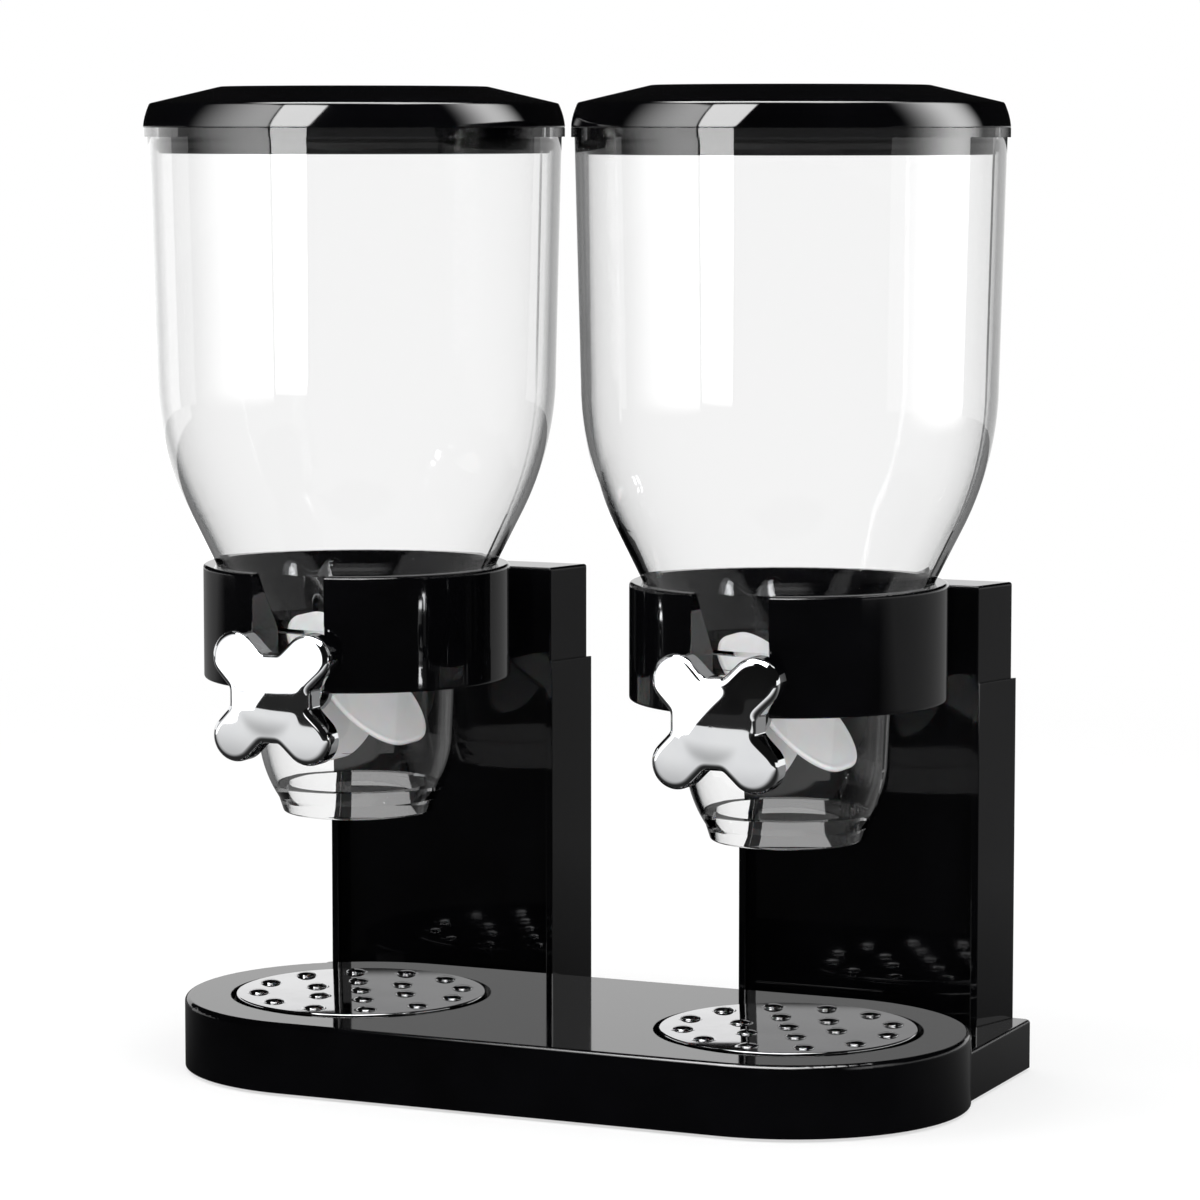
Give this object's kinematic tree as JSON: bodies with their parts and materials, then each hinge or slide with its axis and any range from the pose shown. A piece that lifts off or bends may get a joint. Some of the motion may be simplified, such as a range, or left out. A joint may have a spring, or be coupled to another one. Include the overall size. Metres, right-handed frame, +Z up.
{
  "type": "double cereal dispenser",
  "caption": "Free-standing double dry-food dispenser: clear lift-off hoppers, gloss black lids, collars and stand, chrome knobs turning soft paddle wheels.",
  "frame": {"origin": "centre of the whole object's footprint, on the surface it stands on", "axes": "+X to the viewer's right, +Y from the knobs towards the columns at the back, +Z up"},
  "size_m": [0.334, 0.1746, 0.3723],
  "materials": {
    "gloss_black": "high gloss",
    "matte_black": "matte",
    "clear_plastic": "clear, polished",
    "chrome": "mirror polish",
    "steel_shaft": "turned",
    "steel_screw": "plain",
    "pale_silicone": "satin",
    "pale_bush": "satin",
    "black_rubber": "matte"
  },
  "bodies": {
    "stand": {"base_shell": "gloss_black", "base_plate": "matte_black", "rubber_feet": "black_rubber", "base_screws": "steel_screw", "left_column": "gloss_black", "left_column_panel": "gloss_black", "left_column_screws": "steel_screw", "left_collar_bracket": "gloss_black", "left_bracket_screws": "steel_screw", "right_column": "gloss_black", "right_column_panel": "gloss_black", "right_column_screws": "steel_screw", "right_collar_bracket": "gloss_black", "right_bracket_screws": "steel_screw"},
    "left_canister": {"left_hopper": "clear_plastic", "left_chute": "clear_plastic", "left_front_bush": "pale_bush", "left_rear_bush": "pale_bush"},
    "left_drive": {"left_drive_shaft": "steel_shaft", "left_paddle_wheel": "pale_silicone", "left_knob": "chrome"},
    "left_lid": {"left_lid_cover": "gloss_black", "left_lid_plug": "gloss_black", "left_lid_seal": "black_rubber"},
    "left_serving_dish": {"left_tray_dish": "gloss_black"},
    "right_canister": {"right_hopper": "clear_plastic", "right_chute": "clear_plastic", "right_front_bush": "pale_bush", "right_rear_bush": "pale_bush"},
    "right_drive": {"right_drive_shaft": "steel_shaft", "right_paddle_wheel": "pale_silicone", "right_knob": "chrome"},
    "right_lid": {"right_lid_cover": "gloss_black", "right_lid_plug": "gloss_black", "right_lid_seal": "black_rubber"},
    "right_serving_dish": {"right_tray_dish": "gloss_black"}
  },
  "joints": [
    {"name": "left_canister_lift", "type": "slide", "parent": "stand", "child": "left_canister", "axis": [0, 0, 1], "range_m": [0, 0.1]},
    {"name": "left_lid_lift", "type": "slide", "parent": "left_canister", "child": "left_lid", "axis": [0, 0, 1], "range_m": [0, 0.025]},
    {"name": "left_knob_turn", "type": "hinge", "parent": "left_canister", "child": "left_drive", "pos_m": [-0.088, -0.00825, 0.149], "axis": [0, 1, 0], "continuous": true},
    {"name": "left_dish_lift", "type": "slide", "parent": "stand", "child": "left_serving_dish", "axis": [0, 0, 1], "range_m": [0, 0.012]},
    {"name": "right_canister_lift", "type": "slide", "parent": "stand", "child": "right_canister", "axis": [0, 0, 1], "range_m": [0, 0.1]},
    {"name": "right_lid_lift", "type": "slide", "parent": "right_canister", "child": "right_lid", "axis": [0, 0, 1], "range_m": [0, 0.025]},
    {"name": "right_knob_turn", "type": "hinge", "parent": "right_canister", "child": "right_drive", "pos_m": [0.088, -0.00825, 0.149], "axis": [0, 1, 0], "continuous": true},
    {"name": "right_dish_lift", "type": "slide", "parent": "stand", "child": "right_serving_dish", "axis": [0, 0, 1], "range_m": [0, 0.012]}
  ]
}
